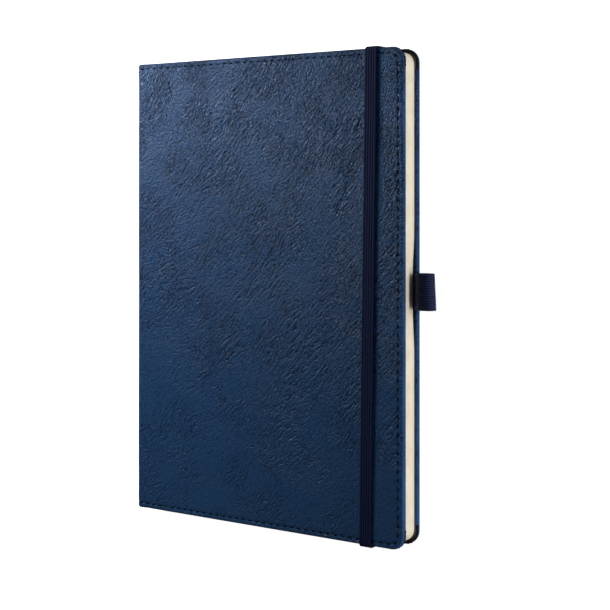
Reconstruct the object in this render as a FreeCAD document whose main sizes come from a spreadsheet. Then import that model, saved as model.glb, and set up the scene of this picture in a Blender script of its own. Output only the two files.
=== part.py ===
"""Pilot logbook: a case-bound notebook with a stitched leather-look case, an elastic closure band and a pen loop.

It lies on its back cover. X runs from the spine to the fore-edge, Y from the tail to the head, and Z from the back
cover up to the front cover. The origin is the middle of the back cover's outer face. All sizes are in millimetres.
"""

import FreeCAD, Part
import os

import Sketcher

SHEET = "Sizes"
DRIVING_SIZES = {
    # the case
    "cover_width": 148.0,
    "cover_height": 213.0,
    "corner_radius": 6.0,
    "board_thickness": 2.0,
    "skin_thickness": 0.7,
    "edge_rounding": 0.5,
    "turn_in_width": 14.0,
    "turn_in_thickness": 0.3,
    "joint_width": 5.5,
    "joint_corner_radius": 2.5,
    "spine_board_thickness": 1.5,
    # the black gathers of the skin at the rounded corners
    "gather_reach": 8.8,
    "gather_thickness": 0.35,
    "gather_start_depth": 0.9,
    # the edge stitching
    "seam_inset": 2.4,
    "seam_width": 0.5,
    "seam_depth": 0.3,
    # the text block
    "section_thickness": 1.04,
    "endpaper_thickness": 0.2,
    "pastedown_inset": 3.0,
    "page_inset_head": 1.5,
    "page_inset_fore_edge": 1.2,
    "page_corner_radius": 5.5,
    "leaf_gap": 0.05,
    # behind the text block
    "hollow_back_gap": 0.1,
    "lining_thickness": 0.3,
    "lining_end_inset": 8.0,
    "sewing_thread_radius": 0.12,
    "sewing_station_spacing": 34.0,
    "endband_height": 0.9,
    "endband_depth": 1.4,
    # the closure band
    "band_width": 6.0,
    "band_thickness": 0.8,
    "band_from_fore_edge": 16.8,
    "band_tab_length": 16.0,
    "band_clearance": 0.1,
    # the pen loop
    "loop_width": 15.7,
    "loop_strap_thickness": 0.75,
    "loop_reach": 9.4,
    "loop_height": 7.0,
    "loop_flex_gap": 0.4,
    "loop_above_middle": 2.4,
    "loop_tab_length": 14.0,
    "relief_clearance": 0.1,
}
SECTIONS_IN_HALF = 4
SEWING_STATIONS = 6
LARGEST_VOLUME_ERROR = 1e-6


class Size:
    """A length with its formula in the sheet's names and its present value."""

    def __init__(self, formula, value):
        self.formula = formula
        self.value = float(value)

    def __add__(self, other):
        other = as_size(other)
        return Size(f"({self.formula} + {other.formula})", self.value + other.value)

    def __sub__(self, other):
        other = as_size(other)
        return Size(f"({self.formula} - {other.formula})", self.value - other.value)

    def __mul__(self, other):
        other = as_size(other)
        return Size(f"({self.formula} * {other.formula})", self.value * other.value)

    def __truediv__(self, other):
        other = as_size(other)
        return Size(f"({self.formula} / {other.formula})", self.value / other.value)

    def __neg__(self):
        return Size(f"(0 - {self.formula})", -self.value)


def as_size(thing):
    """A Size made of a plain number, or the Size itself."""
    return thing if isinstance(thing, Size) else Size(f"{float(thing)}", thing)


def make_sheet(doc):
    """The sheet of driving sizes, one row for each, with the name beside the number."""
    sheet = doc.addObject("Spreadsheet::Sheet", SHEET)
    for row, (name, value) in enumerate(DRIVING_SIZES.items(), start=1):
        sheet.set(f"A{row}", name)
        sheet.set(f"B{row}", str(value))
        sheet.setAlias(f"B{row}", name)
    doc.recompute()
    return sheet


doc = FreeCAD.newDocument("pilot_logbook")
make_sheet(doc)
S = {name: Size(f"{SHEET}.{name}", value) for name, value in DRIVING_SIZES.items()}

# ---- places worked out from the driving sizes -------------------------------------------------------------------

HALF_WIDTH = S["cover_width"] / 2
HALF_HEIGHT = S["cover_height"] / 2
SPINE_X = -HALF_WIDTH
BOARD_X = SPINE_X + S["joint_width"]
BOARD_DEPTH = S["skin_thickness"]
TURN_IN_DEPTH = S["skin_thickness"] + S["board_thickness"]
LIP_DEPTH = TURN_IN_DEPTH + S["turn_in_thickness"]
COVER_DEPTH = LIP_DEPTH + S["endpaper_thickness"]
HALF_BLOCK = S["section_thickness"] * SECTIONS_IN_HALF
FLYLEAF_DEPTH = COVER_DEPTH + S["leaf_gap"]
BLOCK_DEPTH = FLYLEAF_DEPTH + S["endpaper_thickness"]
MIDDLE_DEPTH = BLOCK_DEPTH + HALF_BLOCK
THICKNESS = MIDDLE_DEPTH * 2

SPINE_BOARD_X = SPINE_X + S["skin_thickness"]
SPINE_INSIDE_X = SPINE_BOARD_X + S["spine_board_thickness"]
LINING_X = SPINE_INSIDE_X + S["hollow_back_gap"]
SEWING_X = LINING_X + S["lining_thickness"] + S["sewing_thread_radius"]
BLOCK_X = SEWING_X + S["sewing_thread_radius"] + S["leaf_gap"]
PAGE_EDGE_X = HALF_WIDTH - S["page_inset_fore_edge"]
PAGE_HEAD_Y = HALF_HEIGHT - S["page_inset_head"]

BAND_X = HALF_WIDTH - S["band_from_fore_edge"]
BAND_LEG_Y = HALF_HEIGHT + S["band_clearance"]
BAND_OUTER_Y = BAND_LEG_Y + S["band_thickness"]
BAND_TOP_Z = THICKNESS + S["band_clearance"] + S["band_thickness"]
BAND_TAB_TOP_Z = LIP_DEPTH + S["band_thickness"]
LOOP_TAB_TOP_Z = LIP_DEPTH + S["loop_strap_thickness"] * 2


# ---- modelling helpers ------------------------------------------------------------------------------------------


def origin_plane(body, role):
    return next(f for f in body.Origin.OriginFeatures if f.Role == role)


def new_body(label):
    body = doc.addObject("PartDesign::Body", label)
    body.Label = label
    return body


def new_sketch(body, name, role="XY_Plane", level=None):
    """A sketch on one of the body's origin planes, raised along the plane's normal to a level."""
    sketch = body.newObject("Sketcher::SketchObject", name)
    sketch.AttachmentSupport = [(origin_plane(body, role), "")]
    sketch.MapMode = "FlatFace"
    if level is not None:
        sketch.setExpression("AttachmentOffset.Base.z", level.formula)
    return sketch


def bind(sketch, name, size, *constraint):
    """Adds a dimension that reads its value from the sheet."""
    number = sketch.addConstraint(Sketcher.Constraint(*constraint, size.value))
    sketch.renameConstraint(number, name)
    sketch.setExpression(f"Constraints.{name}", size.formula)


def vector(x, y):
    return FreeCAD.Vector(x, y, 0)


def draw_rectangle(sketch, x0, x1, y0, y1):
    """A rectangle whose four sides stand at sizes from the sheet."""
    a, b, c, d = x0.value, x1.value, y0.value, y1.value
    corners = [vector(a, c), vector(b, c), vector(b, d), vector(a, d)]
    first = sketch.GeometryCount
    for here, there in zip(corners, corners[1:] + corners[:1]):
        sketch.addGeometry(Part.LineSegment(here, there), False)
    for n in range(4):
        sketch.addConstraint(Sketcher.Constraint("Coincident", first + n, 2, first + (n + 1) % 4, 1))
        kind = "Horizontal" if n % 2 == 0 else "Vertical"
        sketch.addConstraint(Sketcher.Constraint(kind, first + n))
    bind(sketch, f"left_{first}", x0, "DistanceX", first + 3, 1)
    bind(sketch, f"right_{first}", x1, "DistanceX", first + 1, 1)
    bind(sketch, f"low_{first}", y0, "DistanceY", first, 1)
    bind(sketch, f"high_{first}", y1, "DistanceY", first + 2, 1)


QUARTER = 1.5707963267948966


def draw_panel(sketch, x0, x1, half, radius, foot=None):
    """A panel outline: square at the spine side, with rounded corners at the fore-edge.

    It reaches along Y from minus half to plus half, or from a foot, which then has a square corner.
    """
    tail_corner = foot is None
    low = -half if tail_corner else foot
    a, b, c, d, r = x0.value, x1.value, low.value, half.value, radius.value
    tail = r if tail_corner else 0.0
    first = sketch.GeometryCount
    bottom, right, top, left = first, first + 1, first + 2, first + 3
    sketch.addGeometry(Part.LineSegment(vector(a, c), vector(b - tail, c)), False)
    sketch.addGeometry(Part.LineSegment(vector(b, c + tail), vector(b, d - r)), False)
    sketch.addGeometry(Part.LineSegment(vector(b - r, d), vector(a, d)), False)
    sketch.addGeometry(Part.LineSegment(vector(a, d), vector(a, c)), False)
    up = FreeCAD.Vector(0, 0, 1)
    head_arc = Part.ArcOfCircle(Part.Circle(vector(b - r, d - r), up, r), 0, QUARTER)
    head = sketch.addGeometry(head_arc, False)
    for line, kind in ((bottom, "Horizontal"), (right, "Vertical"), (top, "Horizontal"), (left, "Vertical")):
        sketch.addConstraint(Sketcher.Constraint(kind, line))
    sketch.addConstraint(Sketcher.Constraint("Coincident", top, 2, left, 1))
    sketch.addConstraint(Sketcher.Constraint("Coincident", left, 2, bottom, 1))
    sketch.addConstraint(Sketcher.Constraint("Tangent", right, 2, head, 1))
    sketch.addConstraint(Sketcher.Constraint("Tangent", head, 2, top, 1))
    if tail_corner:
        tail_arc = Part.ArcOfCircle(Part.Circle(vector(b - r, c + r), up, r), -QUARTER, 0)
        turn = sketch.addGeometry(tail_arc, False)
        sketch.addConstraint(Sketcher.Constraint("Tangent", bottom, 2, turn, 1))
        sketch.addConstraint(Sketcher.Constraint("Tangent", turn, 2, right, 1))
        sketch.addConstraint(Sketcher.Constraint("Equal", turn, head))
    else:
        sketch.addConstraint(Sketcher.Constraint("Coincident", bottom, 2, right, 1))
    bind(sketch, f"left_{first}", x0, "DistanceX", left, 1)
    bind(sketch, f"right_{first}", x1, "DistanceX", right, 1)
    bind(sketch, f"low_{first}", low, "DistanceY", bottom, 1)
    bind(sketch, f"high_{first}", half, "DistanceY", top, 1)
    bind(sketch, f"radius_{first}", radius, "Radius", head)


def pad(body, sketch, length, midplane=False):
    feature = body.newObject("PartDesign::Pad", f"{sketch.Name}_pad")
    feature.Profile = sketch
    feature.setExpression("Length", length.formula)
    feature.Length = length.value
    feature.Midplane = midplane
    doc.recompute()
    return feature


def pocket(body, sketch, depth):
    """Cuts downwards from the sketch, and makes sure that something was cut."""
    before = body.Shape.Volume
    feature = body.newObject("PartDesign::Pocket", f"{sketch.Name}_pocket")
    feature.Profile = sketch
    feature.setExpression("Length", depth.formula)
    feature.Length = depth.value
    doc.recompute()
    if not body.Shape.Volume < before - LARGEST_VOLUME_ERROR:
        raise RuntimeError(f"{feature.Name} cuts nothing")
    return feature


def add_slab(body, name, low, high, draw, *outline, **options):
    """Pads an outline between two heights."""
    sketch = new_sketch(body, name, level=low)
    draw(sketch, *outline, **options)
    return pad(body, sketch, high - low)


def cut_slab(body, name, low, high, draw, *outline, **options):
    """Pockets an outline between two heights."""
    sketch = new_sketch(body, name, level=high)
    draw(sketch, *outline, **options)
    return pocket(body, sketch, high - low)


def cut(label, base, tool):
    """Base less tool, as a named boolean."""
    result = doc.addObject("Part::Cut", label)
    result.Label = label
    result.Base = base
    result.Tool = tool
    doc.recompute()
    return result


class Side:
    """One cover's side of the book. Depths are measured inwards from that cover's outer face."""

    def __init__(self, name):
        self.name = name
        self.is_back = name == "back"

    def heights(self, shallow, deep):
        """The low and high Z of what lies between two depths."""
        if self.is_back:
            return as_size(shallow), as_size(deep)
        return THICKNESS - deep, THICKNESS - shallow

    def slab(self, body, name, shallow, deep, draw, *outline, **options):
        return add_slab(body, name, *self.heights(shallow, deep), draw, *outline, **options)

    def hollow(self, body, name, shallow, deep, draw, *outline, **options):
        return cut_slab(body, name, *self.heights(shallow, deep), draw, *outline, **options)


# ---- the case ---------------------------------------------------------------------------------------------------


def make_board(side):
    body = new_body(f"{side.name}_board")
    skin = S["skin_thickness"]
    outline = (BOARD_X, HALF_WIDTH - skin, HALF_HEIGHT - skin, S["corner_radius"] - skin)
    side.slab(body, f"{side.name}_board_outline", BOARD_DEPTH, TURN_IN_DEPTH, draw_panel, *outline)
    return body


def outer_edges(shape, level):
    """Names of the edges round the outer face, without the straight one at the joint."""
    names = []
    for number, edge in enumerate(shape.Edges, start=1):
        box = edge.BoundBox
        at_level = abs(box.ZMin - level) < 1e-4 and abs(box.ZMax - level) < 1e-4
        if at_level and box.XMax > BOARD_X.value + 1e-3:
            names.append(f"Edge{number}")
    return names


def make_skin(side, gathers, thread):
    """The leather-look covering of one board: outer face, edge walls and the turn-ins on the inside."""
    body = new_body(f"{side.name}_skin_blank")
    full = (BOARD_X, HALF_WIDTH, HALF_HEIGHT, S["corner_radius"])
    first = side.slab(body, f"{side.name}_skin_outline", 0, TURN_IN_DEPTH, draw_panel, *full)
    rounding = body.newObject("PartDesign::Fillet", f"{side.name}_skin_rounding")
    outer_level = 0.0 if side.is_back else THICKNESS.value
    rounding.Base = (first, outer_edges(first.Shape, outer_level))
    rounding.setExpression("Radius", S["edge_rounding"].formula)
    rounding.Radius = S["edge_rounding"].value
    doc.recompute()
    wall = S["skin_thickness"]
    past_joint = BOARD_X - 1
    cavity = (past_joint, HALF_WIDTH - wall, HALF_HEIGHT - wall, S["corner_radius"] - wall)
    side.hollow(body, f"{side.name}_skin_cavity", BOARD_DEPTH, TURN_IN_DEPTH, draw_panel, *cavity)
    side.slab(body, f"{side.name}_skin_turn_in", TURN_IN_DEPTH, LIP_DEPTH, draw_panel, *full)
    turn_in = S["turn_in_width"]
    window = (past_joint, HALF_WIDTH - turn_in, turn_in - HALF_HEIGHT, HALF_HEIGHT - turn_in)
    side.hollow(body, f"{side.name}_skin_window", TURN_IN_DEPTH, LIP_DEPTH, draw_rectangle, *window)
    without_gathers = cut(f"{side.name}_skin_notched", body, gathers)
    return cut(f"{side.name}_cover_skin", without_gathers, thread)


def make_gathers(side):
    """The pleated black corners: a thin wall round the rounded corner and its flap on the inside, head and tail."""
    body = new_body(f"{side.name}_corner_gathers")
    reach, wall = S["gather_reach"], S["gather_thickness"]
    start = S["gather_start_depth"]
    square = (HALF_WIDTH - reach, HALF_WIDTH, HALF_HEIGHT, S["corner_radius"])
    foot = HALF_HEIGHT - reach
    side.slab(body, f"{side.name}_gather_outline", start, LIP_DEPTH, draw_panel, *square, foot=foot)
    inside = (HALF_WIDTH - reach - 1, HALF_WIDTH - wall, HALF_HEIGHT - wall, S["corner_radius"] - wall)
    side.hollow(body, f"{side.name}_gather_inside", start, TURN_IN_DEPTH, draw_panel, *inside, foot=foot - 1)
    solid = body.Tip
    mirrored = body.newObject("PartDesign::Mirrored", f"{side.name}_gather_mirror")
    mirrored.Originals = [feature for feature in body.Group if feature.isDerivedFrom("PartDesign::ProfileBased")]
    mirrored.MirrorPlane = (origin_plane(body, "XZ_Plane"), [""])
    body.Tip = mirrored
    doc.recompute()
    if len(body.Shape.Solids) != 2 * len(solid.Shape.Solids):
        raise RuntimeError(f"{body.Label} isn't mirrored")
    return body


def make_seam_thread(side):
    """The thread of the edge stitching on one cover, set into the skin along the head, fore-edge and tail."""
    body = new_body(f"{side.name}_seam_thread")
    outer = S["seam_inset"] - S["seam_width"] / 2
    inner = S["seam_inset"] + S["seam_width"] / 2
    around = (BOARD_X, HALF_WIDTH - outer, HALF_HEIGHT - outer, S["corner_radius"] - outer)
    side.slab(body, f"{side.name}_seam_outline", 0, S["seam_depth"], draw_panel, *around)
    inside = (BOARD_X - 1, HALF_WIDTH - inner, HALF_HEIGHT - inner, S["corner_radius"] - inner)
    side.hollow(body, f"{side.name}_seam_inside", 0, S["seam_depth"], draw_panel, *inside)
    return body


def make_pastedown(side, tool=None):
    """The endpaper leaf glued over the board and the turn-ins, stepping down where the turn-ins end."""
    label = f"{side.name}_pastedown"
    body = new_body(label if tool is None else f"{label}_blank")
    inset, sheet = S["pastedown_inset"], S["endpaper_thickness"]
    outline = (BOARD_X, HALF_WIDTH - inset, HALF_HEIGHT - inset, S["corner_radius"] - inset)
    side.slab(body, f"{side.name}_pastedown_outline", LIP_DEPTH, COVER_DEPTH, draw_panel, *outline)
    turn_in = S["turn_in_width"]
    window = (BOARD_X, HALF_WIDTH - turn_in, turn_in - HALF_HEIGHT, HALF_HEIGHT - turn_in)
    side.slab(body, f"{side.name}_pastedown_step", TURN_IN_DEPTH, LIP_DEPTH, draw_rectangle, *window)
    step = turn_in + sheet
    dip = (BOARD_X - 1, HALF_WIDTH - step, step - HALF_HEIGHT, HALF_HEIGHT - step)
    side.hollow(body, f"{side.name}_pastedown_dip", TURN_IN_DEPTH + sheet, COVER_DEPTH, draw_rectangle, *dip)
    return body if tool is None else cut(label, body, tool)


def draw_joint_strip(sketch, side):
    """The skin's bend between a cover and the spine: a quarter turn, then flat up to the board."""
    wall, bend = S["skin_thickness"], S["joint_corner_radius"]
    centre_x = (SPINE_X + bend).value
    centre_z = bend.value if side.is_back else (THICKNESS - bend).value
    sign = -1.0 if side.is_back else 1.0
    board_x, outer, inner = BOARD_X.value, bend.value, (bend - wall).value
    up = FreeCAD.Vector(0, 0, 1)
    start, end = (2 * QUARTER, 3 * QUARTER) if side.is_back else (QUARTER, 2 * QUARTER)
    centre = vector(centre_x, centre_z)
    big = sketch.addGeometry(Part.ArcOfCircle(Part.Circle(centre, up, outer), start, end), False)
    small = sketch.addGeometry(Part.ArcOfCircle(Part.Circle(centre, up, inner), start, end), False)
    outer_z, inner_z = centre_z + sign * outer, centre_z + sign * inner
    top = sketch.addGeometry(Part.LineSegment(vector(centre_x, outer_z), vector(board_x, outer_z)), False)
    side_end = sketch.addGeometry(Part.LineSegment(vector(board_x, outer_z), vector(board_x, inner_z)), False)
    under = sketch.addGeometry(Part.LineSegment(vector(board_x, inner_z), vector(centre_x, inner_z)), False)
    spine_end = sketch.addGeometry(
        Part.LineSegment(vector(centre_x - inner, centre_z), vector(centre_x - outer, centre_z)), False
    )
    flat_end, spine_side = (2, 1) if side.is_back else (1, 2)
    add = sketch.addConstraint
    add(Sketcher.Constraint("Tangent", big, flat_end, top, 1))
    add(Sketcher.Constraint("Coincident", top, 2, side_end, 1))
    add(Sketcher.Constraint("Coincident", side_end, 2, under, 1))
    add(Sketcher.Constraint("Tangent", under, 2, small, flat_end))
    add(Sketcher.Constraint("Coincident", small, spine_side, spine_end, 1))
    add(Sketcher.Constraint("Coincident", spine_end, 2, big, spine_side))
    add(Sketcher.Constraint("Coincident", big, 3, small, 3))
    add(Sketcher.Constraint("Horizontal", top))
    add(Sketcher.Constraint("Vertical", side_end))
    add(Sketcher.Constraint("Horizontal", spine_end))
    bind(sketch, "bend_radius", bend, "Radius", big)
    bind(sketch, "inside_radius", bend - wall, "Radius", small)
    bind(sketch, "centre_x", SPINE_X + bend, "DistanceX", big, 3)
    bind(sketch, "centre_z", bend if side.is_back else THICKNESS - bend, "DistanceY", big, 3)
    bind(sketch, "board_x", BOARD_X, "DistanceX", side_end, 1)


def make_joint_strip(side):
    """The flexible strip of skin that is the hinge of one cover."""
    body = new_body(f"{side.name}_joint_strip")
    sketch = new_sketch(body, f"{side.name}_joint_profile", role="XZ_Plane")
    draw_joint_strip(sketch, side)
    pad(body, sketch, S["cover_height"], midplane=True)
    return body


def spine_heights():
    return S["joint_corner_radius"], THICKNESS - S["joint_corner_radius"]


def make_spine_board():
    body = new_body("spine_board")
    half = HALF_HEIGHT - S["skin_thickness"]
    outline = (SPINE_BOARD_X, SPINE_INSIDE_X, -half, half)
    add_slab(body, "spine_board_outline", *spine_heights(), draw_rectangle, *outline)
    return body


def make_spine_skin(thread):
    """The spine's covering: the outer face and the turned-in ends over the spine board."""
    body = new_body("spine_skin_blank")
    low, high = spine_heights()
    outline = (SPINE_X, SPINE_INSIDE_X, -HALF_HEIGHT, HALF_HEIGHT)
    add_slab(body, "spine_skin_outline", low, high, draw_rectangle, *outline)
    half = HALF_HEIGHT - S["skin_thickness"]
    inside = (SPINE_BOARD_X, SPINE_INSIDE_X + 1, -half, half)
    cut_slab(body, "spine_skin_inside", low, high, draw_rectangle, *inside)
    return cut("spine_skin", body, thread)


def make_spine_seam_thread():
    """The edge stitching's two short runs across the spine, at the head and the tail."""
    body = new_body("spine_seam_thread")
    outer = HALF_HEIGHT - S["seam_inset"] + S["seam_width"] / 2
    inner = HALF_HEIGHT - S["seam_inset"] - S["seam_width"] / 2
    deep = SPINE_X + S["seam_depth"]
    low, high = spine_heights()
    sketch = new_sketch(body, "spine_seam_runs", level=low)
    draw_rectangle(sketch, SPINE_X, deep, inner, outer)
    draw_rectangle(sketch, SPINE_X, deep, -outer, -inner)
    pad(body, sketch, high - low)
    return body


# ---- the text block ---------------------------------------------------------------------------------------------


def page_outline():
    return (BLOCK_X, PAGE_EDGE_X, PAGE_HEAD_Y, S["page_corner_radius"])


def make_leaf(side, label, shallow, deep, tool=None):
    """One leaf or one sewn section of leaves, relieved where the glued straps press into it."""
    body = new_body(label if tool is None else f"{label}_blank")
    side.slab(body, f"{label}_outline", shallow, deep, draw_panel, *page_outline())
    return body if tool is None else cut(label, body, tool)


def make_half_block(side, reliefs):
    """A flyleaf and half of the sewn sections. Sections are numbered from the front of the book."""
    leaves = [make_leaf(side, f"{side.name}_flyleaf", FLYLEAF_DEPTH, BLOCK_DEPTH, reliefs)]
    for n in range(SECTIONS_IN_HALF):
        number = 2 * SECTIONS_IN_HALF - n if side.is_back else n + 1
        shallow = BLOCK_DEPTH + S["section_thickness"] * n
        deep = shallow + S["section_thickness"]
        pressed = reliefs is not None and shallow.value < (LOOP_TAB_TOP_Z + S["relief_clearance"]).value
        leaves.append(make_leaf(side, f"section_{number:02d}", shallow, deep, reliefs if pressed else None))
    return leaves


def block_heights():
    return COVER_DEPTH + S["leaf_gap"], THICKNESS - COVER_DEPTH - S["leaf_gap"]


def make_lining():
    """The gauze and paper glued along the back of the sewn sections."""
    body = new_body("spine_lining")
    half = PAGE_HEAD_Y - S["lining_end_inset"]
    outline = (LINING_X, LINING_X + S["lining_thickness"], -half, half)
    add_slab(body, "lining_outline", *block_heights(), draw_rectangle, *outline)
    return body


def make_sewing_thread():
    """The sewing that links the sections, one run across their folds at each station."""
    body = new_body("sewing_thread")
    low, high = block_heights()
    sketch = new_sketch(body, "sewing_stations", level=low)
    radius = S["sewing_thread_radius"]
    for n in range(SEWING_STATIONS):
        place = S["sewing_station_spacing"] * (n - (SEWING_STATIONS - 1) / 2)
        circle = Part.Circle(vector(SEWING_X.value, place.value), FreeCAD.Vector(0, 0, 1), radius.value)
        ring = sketch.addGeometry(circle, False)
        bind(sketch, f"station_{n}_x", SEWING_X, "DistanceX", ring, 3)
        bind(sketch, f"station_{n}_y", place, "DistanceY", ring, 3)
        bind(sketch, f"station_{n}_radius", radius, "Radius", ring)
    pad(body, sketch, high - low)
    return body


def make_endband(label, at_head):
    """A woven band at one end of the block's back, in the space that the covers leave above the pages."""
    body = new_body(label)
    low_y, high_y = PAGE_HEAD_Y, PAGE_HEAD_Y + S["endband_height"]
    if not at_head:
        low_y, high_y = -high_y, -low_y
    outline = (LINING_X, LINING_X + S["endband_depth"], low_y, high_y)
    add_slab(body, f"{label}_outline", *block_heights(), draw_rectangle, *outline)
    return body


# ---- the closure band -------------------------------------------------------------------------------------------


def band_edges():
    return BAND_X - S["band_width"] / 2, BAND_X + S["band_width"] / 2


def make_band_tabs():
    """The band's two glued ends, from under the back endpaper out past the head and the tail."""
    body = new_body("closure_band_tabs")
    left, right = band_edges()
    inner = HALF_HEIGHT - S["band_tab_length"]
    sketch = new_sketch(body, "band_tabs_outline", level=LIP_DEPTH)
    draw_rectangle(sketch, left, right, inner, BAND_OUTER_Y)
    draw_rectangle(sketch, left, right, -BAND_OUTER_Y, -inner)
    pad(body, sketch, S["band_thickness"])
    return body


def make_band():
    """The band's long strand over the front cover, with its two returns down over the head and the tail."""
    body = new_body("closure_band")
    left, right = band_edges()
    low = BAND_TAB_TOP_Z
    outside = (left, right, -BAND_OUTER_Y, BAND_OUTER_Y)
    add_slab(body, "band_outline", low, BAND_TOP_Z, draw_rectangle, *outside)
    inside = (left - 1, right + 1, -BAND_LEG_Y, BAND_LEG_Y)
    cut_slab(body, "band_inside", low, BAND_TOP_Z - S["band_thickness"], draw_rectangle, *inside)
    return body


# ---- the pen loop -----------------------------------------------------------------------------------------------


def loop_widths():
    low = S["loop_above_middle"] - S["loop_width"] / 2
    return low, low + S["loop_width"]


def make_loop_tab():
    """The pen loop's two layers of elastic, glued together under the back endpaper."""
    body = new_body("pen_loop_tab")
    outline = (HALF_WIDTH - S["loop_tab_length"], HALF_WIDTH, *loop_widths())
    add_slab(body, "loop_tab_outline", LIP_DEPTH, LOOP_TAB_TOP_Z, draw_rectangle, *outline)
    return body


def draw_slot(sketch, left, right, middle, radius):
    """A slot along the sketch's first axis: two half rounds joined by straights."""
    a, b, z, r = (left + radius).value, (right - radius).value, middle.value, radius.value
    up = FreeCAD.Vector(0, 0, 1)
    first = sketch.addGeometry(Part.ArcOfCircle(Part.Circle(vector(a, z), up, r), QUARTER, 3 * QUARTER), False)
    second = sketch.addGeometry(Part.ArcOfCircle(Part.Circle(vector(b, z), up, r), -QUARTER, QUARTER), False)
    under = sketch.addGeometry(Part.LineSegment(vector(a, z - r), vector(b, z - r)), False)
    over = sketch.addGeometry(Part.LineSegment(vector(b, z + r), vector(a, z + r)), False)
    for one, one_end, other, other_end in (
        (first, 2, under, 1),
        (under, 2, second, 1),
        (second, 2, over, 1),
        (over, 2, first, 1),
    ):
        sketch.addConstraint(Sketcher.Constraint("Tangent", one, one_end, other, other_end))
    sketch.addConstraint(Sketcher.Constraint("Horizontal", under))
    bind(sketch, f"left_{first}", left + radius, "DistanceX", first, 3)
    bind(sketch, f"right_{first}", right - radius, "DistanceX", second, 3)
    bind(sketch, f"middle_{first}", middle, "DistanceY", first, 3)
    bind(sketch, f"radius_{first}", radius, "Radius", first)


def make_pen_loop():
    """The open loop outside the fore-edge, with the short neck where its two ends come together.

    It hangs a little above its tab, so that it stays clear of the surface that the book lies on. The gap between
    the neck and the tab is the room that the strap has to flex.
    """
    body = new_body("pen_loop_outside")
    strap = S["loop_strap_thickness"]
    radius = S["loop_height"] / 2
    near, far = HALF_WIDTH + S["loop_flex_gap"], HALF_WIDTH + S["loop_reach"]
    middle_z = LOOP_TAB_TOP_Z
    outside = new_sketch(body, "loop_outside", role="XZ_Plane")
    draw_slot(outside, near, far, middle_z, radius)
    pad(body, outside, S["loop_width"], midplane=True)
    neck = new_sketch(body, "loop_neck", role="XZ_Plane")
    draw_rectangle(neck, near, near + strap, LIP_DEPTH, LOOP_TAB_TOP_Z)
    pad(body, neck, S["loop_width"], midplane=True)
    opening = new_body("pen_loop_opening")
    inside = new_sketch(opening, "loop_inside", role="XZ_Plane")
    draw_slot(inside, near + strap, far - strap, middle_z, radius - strap)
    pad(opening, inside, S["loop_width"] + 2, midplane=True)
    loop = cut("pen_loop", body, opening)
    loop.setExpression("Placement.Base.y", S["loop_above_middle"].formula)
    doc.recompute()
    return loop


# ---- reliefs where the glued straps press into the paper --------------------------------------------------------


def make_reliefs():
    """The room that the glued straps take between the turn-ins and the leaves. It is a tool and isn't a piece."""
    body = new_body("strap_reliefs")
    gap = S["relief_clearance"]
    low, high = loop_widths()
    loop_room = (HALF_WIDTH - S["loop_tab_length"] - gap, HALF_WIDTH + 1, low - gap, high + gap)
    add_slab(body, "loop_room", LIP_DEPTH, LOOP_TAB_TOP_Z + gap, draw_rectangle, *loop_room)
    left, right = band_edges()
    inner = HALF_HEIGHT - S["band_tab_length"] - gap
    sketch = new_sketch(body, "band_room", level=LIP_DEPTH)
    draw_rectangle(sketch, left - gap, right + gap, inner, HALF_HEIGHT + 1)
    draw_rectangle(sketch, left - gap, right + gap, -HALF_HEIGHT - 1, -inner)
    pad(body, sketch, BAND_TAB_TOP_Z + gap - LIP_DEPTH)
    return body


# ---- the book ---------------------------------------------------------------------------------------------------


def make_cover(side, reliefs):
    gathers = make_gathers(side)
    thread = make_seam_thread(side)
    return [
        make_board(side),
        gathers,
        thread,
        make_skin(side, gathers, thread),
        make_pastedown(side, reliefs),
        make_joint_strip(side),
    ]


def make_book():
    reliefs = make_reliefs()
    back, front = Side("back"), Side("front")
    pieces = make_cover(back, reliefs) + make_cover(front, None)
    spine_thread = make_spine_seam_thread()
    pieces += [make_spine_board(), spine_thread, make_spine_skin(spine_thread), make_lining(), make_sewing_thread()]
    pieces += [make_endband("head_band", True), make_endband("tail_band", False)]
    pieces += make_half_block(back, reliefs) + make_half_block(front, None)
    pieces += [make_band_tabs(), make_band(), make_loop_tab(), make_pen_loop()]
    return pieces


def check(pieces):
    """Stops the build if any object failed or any piece isn't made of valid closed solids."""
    for thing in doc.Objects:
        bad = [state for state in thing.State if state in ("Invalid", "Error")]
        if bad:
            raise RuntimeError(f"{thing.Label} is {bad}")
    labels = [piece.Label for piece in pieces]
    if len(set(labels)) != len(labels):
        raise RuntimeError("two pieces share a name")
    for piece in pieces:
        shape = piece.Shape
        if shape.isNull() or not shape.isValid() or not shape.Solids or shape.Volume <= 0:
            raise RuntimeError(f"{piece.Label} has no valid solid")


def export(pieces):
    os.makedirs("parts", exist_ok=True)
    for name in os.listdir("parts"):
        if name.endswith(".step"):
            os.remove(os.path.join("parts", name))
    for piece in pieces:
        piece.Shape.exportStep(os.path.join("parts", f"{piece.Label}.step"))


doc.recompute()
book = make_book()
doc.recompute()
check(book)
export(book)
print(f"{len(book)} pieces, {THICKNESS.value:.2f} mm thick")
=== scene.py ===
"""The looks of the pilot logbook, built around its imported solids.

The book lies on its back cover: X runs from the spine to the fore-edge, Y from the tail to the head and Z from the
back cover up to the front cover. Lengths are in metres, and those written here are millimetres times MM.
"""

import math

import bpy
import numpy as np
from mathutils import Matrix, Vector


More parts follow.
